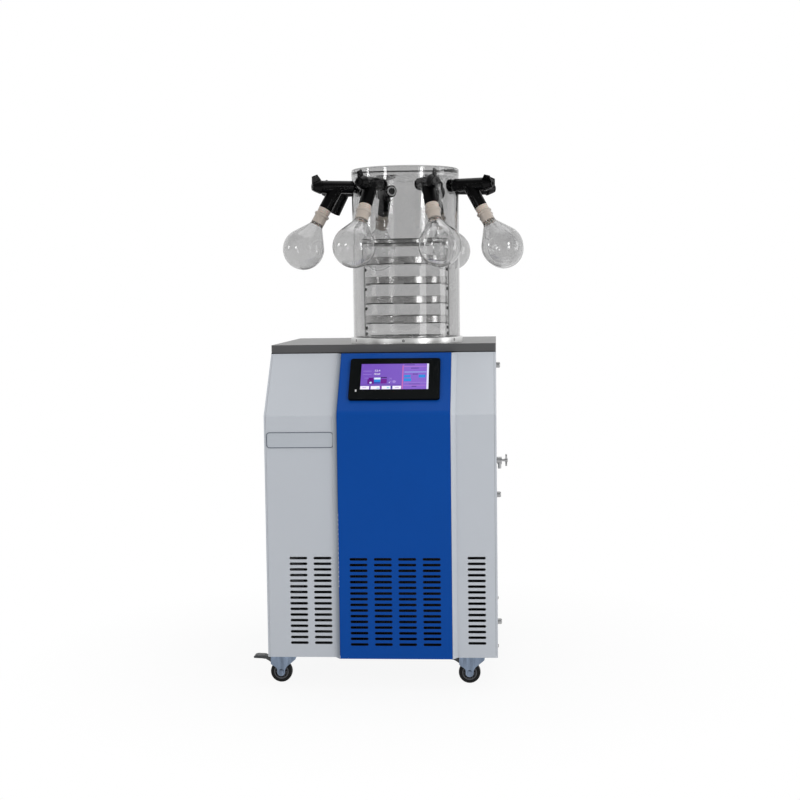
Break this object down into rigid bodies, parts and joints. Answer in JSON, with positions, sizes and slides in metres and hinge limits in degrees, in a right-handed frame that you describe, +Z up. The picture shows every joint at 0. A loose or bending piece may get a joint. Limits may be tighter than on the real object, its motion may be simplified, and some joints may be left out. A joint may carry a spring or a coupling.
{
  "type": "freeze dryer",
  "caption": "Floor-standing manifold freeze dryer: sheet-metal cabinet on casters with a sloped screen, a clear drying chamber with a tray rack, and pear-shaped flasks on valves round it.",
  "frame": {"origin": "on the floor, under the middle of the whole machine's bounding box", "axes": "+Z up, +X to the right of a person who faces the screen, +Y from the front to the back"},
  "size_m": [0.6326, 0.672, 1.186],
  "materials": {
    "white_enamel": "smooth gloss powder coat",
    "blue_enamel": "smooth gloss powder coat",
    "grey_enamel": "fine satin powder coat",
    "zinc_steel": "zinc plated",
    "stainless": "brushed stainless",
    "polished_steel": "polished",
    "black_bezel": "semi-gloss",
    "display": "glossy",
    "copper": "drawn copper tube",
    "black_enamel": "satin",
    "aluminium": "mill finish",
    "black_plastic": "moulded, slightly glossy",
    "seal_rubber": "matte",
    "clear_acrylic": "clear acrylic, polished",
    "clear_glass": "blown borosilicate glass",
    "silicone": "translucent silicone",
    "black_tyre": "moulded rubber",
    "black_rocker": "glossy"
  },
  "bodies": {
    "cabinet": {"front_panel_left": "white_enamel", "front_panel_right": "white_enamel", "front_panel_centre": "blue_enamel", "side_panel_left": "white_enamel", "side_panel_right": "white_enamel", "rear_panel": "white_enamel", "base_frame": "zinc_steel", "top_plate": "grey_enamel", "screen_bezel": "black_bezel", "screen_glass": "display", "cold_trap": "stainless", "trap_coil": "copper", "compressor": "black_enamel", "condenser": "aluminium", "fan_shroud": "black_enamel", "vacuum_port": "stainless", "power_inlet": "black_plastic", "drain_valve_body": "zinc_steel", "panel_screws": "zinc_steel", "base_ring": "stainless", "chamber_seal": "seal_rubber", "chamber_tube": "clear_acrylic", "chamber_lid": "clear_acrylic", "rack_frame": "stainless", "valve_bodies": "black_plastic", "port_nuts": "black_plastic", "flask_adapters": "silicone", "caster_plates": "zinc_steel", "tray_1": "polished_steel", "tray_2": "polished_steel", "tray_3": "polished_steel", "tray_4": "polished_steel", "flask_1": "clear_glass", "flask_2": "clear_glass", "flask_3": "clear_glass", "flask_4": "clear_glass", "flask_5": "clear_glass", "flask_6": "clear_glass", "flask_7": "clear_glass"},
    "fan": {"fan_rotor": "black_plastic"},
    "drain_tap": {"drain_handle": "zinc_steel"},
    "mains_rocker": {"power_switch": "black_rocker"},
    "plug_1": {"valve_plug_1": "black_plastic"},
    "plug_2": {"valve_plug_2": "black_plastic"},
    "plug_3": {"valve_plug_3": "black_plastic"},
    "plug_4": {"valve_plug_4": "black_plastic"},
    "plug_5": {"valve_plug_5": "black_plastic"},
    "plug_6": {"valve_plug_6": "black_plastic"},
    "plug_7": {"valve_plug_7": "black_plastic"},
    "plug_8": {"valve_plug_8": "black_plastic"},
    "fork_front_left": {"caster_fork_front_left": "zinc_steel"},
    "wheel_front_left": {"caster_wheel_front_left": "black_tyre"},
    "brake_front_left": {"brake_pedal_front_left": "zinc_steel"},
    "fork_front_right": {"caster_fork_front_right": "zinc_steel"},
    "wheel_front_right": {"caster_wheel_front_right": "black_tyre"},
    "brake_front_right": {"brake_pedal_front_right": "zinc_steel"},
    "fork_rear_left": {"caster_fork_rear_left": "zinc_steel"},
    "wheel_rear_left": {"caster_wheel_rear_left": "black_tyre"},
    "fork_rear_right": {"caster_fork_rear_right": "zinc_steel"},
    "wheel_rear_right": {"caster_wheel_rear_right": "black_tyre"}
  },
  "joints": [
    {"name": "fan_spin", "type": "hinge", "parent": "cabinet", "child": "fan", "pos_m": [0.01835, -0.203, 0.195], "axis": [0, 1, 0], "continuous": true},
    {"name": "drain_tap_turn", "type": "hinge", "parent": "cabinet", "child": "drain_tap", "pos_m": [0.25635, -0.071, 0.49], "axis": [1, 0, 0], "range_deg": [0, 90]},
    {"name": "mains_rocker_tilt", "type": "hinge", "parent": "cabinet", "child": "mains_rocker", "pos_m": [0.13635, 0.301, 0.201], "axis": [-1, 0, 0], "range_deg": [0, 16]},
    {"name": "plug_1_turn", "type": "hinge", "parent": "cabinet", "child": "plug_1", "pos_m": [0.10518, -0.23047, 1.143], "axis": [0.3616, -0.9323, 0], "range_deg": [0, 180]},
    {"name": "plug_2_turn", "type": "hinge", "parent": "cabinet", "child": "plug_2", "pos_m": [0.21584, -0.12471, 1.143], "axis": [0.915, -0.4035, 0], "range_deg": [-50, 130]},
    {"name": "plug_3_turn", "type": "hinge", "parent": "cabinet", "child": "plug_3", "pos_m": [0.21932, 0.02832, 1.143], "axis": [0.9323, 0.3616, 0], "range_deg": [0, 180]},
    {"name": "plug_4_turn", "type": "hinge", "parent": "cabinet", "child": "plug_4", "pos_m": [0.11356, 0.13899, 1.143], "axis": [0.4035, 0.915, 0], "range_deg": [0, 180]},
    {"name": "plug_5_turn", "type": "hinge", "parent": "cabinet", "child": "plug_5", "pos_m": [-0.03948, 0.14247, 1.143], "axis": [-0.3616, 0.9323, 0], "range_deg": [0, 180]},
    {"name": "plug_6_turn", "type": "hinge", "parent": "cabinet", "child": "plug_6", "pos_m": [-0.15014, 0.03671, 1.143], "axis": [-0.915, 0.4035, 0], "range_deg": [0, 180]},
    {"name": "plug_7_turn", "type": "hinge", "parent": "cabinet", "child": "plug_7", "pos_m": [-0.15362, -0.11632, 1.143], "axis": [-0.9323, -0.3616, 0], "range_deg": [0, 180]},
    {"name": "plug_8_turn", "type": "hinge", "parent": "cabinet", "child": "plug_8", "pos_m": [-0.04786, -0.22699, 1.143], "axis": [-0.4035, -0.915, 0], "range_deg": [0, 180]},
    {"name": "swivel_front_left", "type": "hinge", "parent": "cabinet", "child": "fork_front_left", "pos_m": [-0.23065, -0.261, 0.06], "axis": [0, 0, 1], "continuous": true},
    {"name": "roll_front_left", "type": "hinge", "parent": "fork_front_left", "child": "wheel_front_left", "pos_m": [-0.25265, -0.261, 0.025], "axis": [0, 1, 0], "continuous": true},
    {"name": "brake_press_front_left", "type": "hinge", "parent": "fork_front_left", "child": "brake_front_left", "pos_m": [-0.27028, -0.261, 0.04927], "axis": [0, -1, 0], "range_deg": [0, 12]},
    {"name": "swivel_front_right", "type": "hinge", "parent": "cabinet", "child": "fork_front_right", "pos_m": [0.20335, -0.261, 0.06], "axis": [0, 0, 1], "continuous": true},
    {"name": "roll_front_right", "type": "hinge", "parent": "fork_front_right", "child": "wheel_front_right", "pos_m": [0.18135, -0.261, 0.025], "axis": [0, 1, 0], "continuous": true},
    {"name": "brake_press_front_right", "type": "hinge", "parent": "fork_front_right", "child": "brake_front_right", "pos_m": [0.16372, -0.261, 0.04927], "axis": [0, -1, 0], "range_deg": [0, 12]},
    {"name": "swivel_rear_left", "type": "hinge", "parent": "cabinet", "child": "fork_rear_left", "pos_m": [-0.23065, 0.238, 0.06], "axis": [0, 0, 1], "continuous": true},
    {"name": "roll_rear_left", "type": "hinge", "parent": "fork_rear_left", "child": "wheel_rear_left", "pos_m": [-0.25265, 0.238, 0.025], "axis": [0, 1, 0], "continuous": true},
    {"name": "swivel_rear_right", "type": "hinge", "parent": "cabinet", "child": "fork_rear_right", "pos_m": [0.20335, 0.238, 0.06], "axis": [0, 0, 1], "continuous": true},
    {"name": "roll_rear_right", "type": "hinge", "parent": "fork_rear_right", "child": "wheel_rear_right", "pos_m": [0.18135, 0.238, 0.025], "axis": [0, 1, 0], "continuous": true}
  ]
}
